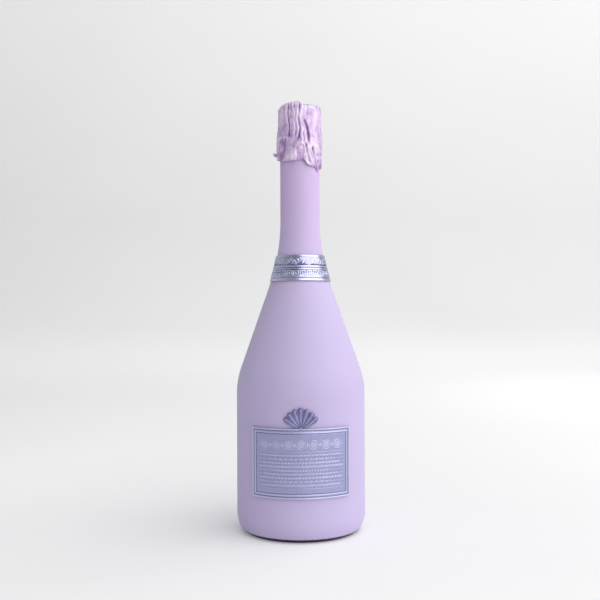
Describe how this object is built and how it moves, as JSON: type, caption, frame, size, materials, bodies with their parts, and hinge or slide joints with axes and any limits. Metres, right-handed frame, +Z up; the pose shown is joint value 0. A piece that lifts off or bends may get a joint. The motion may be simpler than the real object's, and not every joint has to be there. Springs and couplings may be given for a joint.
{
  "type": "sparkling wine bottle",
  "caption": "Sealed sparkling wine bottle in lacquered glass, with cork, wire cage, crumpled foil hood, embossed neck band and curved metal plaque.",
  "frame": {"origin": "middle of the bearing ring's flat underside", "axes": "+Z up along the bottle's axis to the hood's crown, -Y out through the middle of the plaque, +X to the right as seen from the plaque's side"},
  "size_m": [0.095, 0.0971, 0.3153],
  "materials": {
    "lacquered_glass": "matt lavender lacquer over dark glass",
    "wine": "pale gold liquid, clear",
    "agglomerated_cork": "pressed cork grain, matt",
    "natural_cork": "natural cork, matt",
    "cage_steel": "bright drawn wire",
    "cap_steel": "lavender lacquered tinplate, satin",
    "foil": "crumpled lavender foil, satin",
    "band_metal": "embossed blue lavender metal, glossy",
    "plaque_metal": "embossed blue lavender metal, satin",
    "adhesive": "pale adhesive film"
  },
  "bodies": {
    "bottle": {"glass_bottle": "lacquered_glass", "wine": "wine", "neck_band": "band_metal", "band_film": "adhesive", "plaque": "plaque_metal", "plaque_film": "adhesive"},
    "cork": {"cork_body": "agglomerated_cork", "cork_disc_upper": "natural_cork", "cork_disc_lower": "natural_cork"},
    "cage": {"cage_cap": "cap_steel", "cage_wire": "cage_steel", "cage_belt": "cage_steel"},
    "hood": {"foil_hood": "foil"},
    "tab": {"foil_tear_tab": "foil"}
  },
  "joints": [
    {"name": "cork_pull", "type": "slide", "parent": "bottle", "child": "cork", "axis": [0, 0, 1], "range_m": [0, 0.04]},
    {"name": "cage_lift", "type": "slide", "parent": "cork", "child": "cage", "axis": [0, 0, 1], "range_m": [0, 0.05], "deforming": ["cage_wire", "cage_belt"]},
    {"name": "hood_lift", "type": "slide", "parent": "cage", "child": "hood", "axis": [0, 0, 1], "range_m": [0, 0.055]},
    {"name": "tab_fold", "type": "hinge", "parent": "hood", "child": "tab", "pos_m": [-0.01727, 0.00212, 0.2782], "axis": [0, 0, -1], "range_deg": [0, 95]}
  ]
}
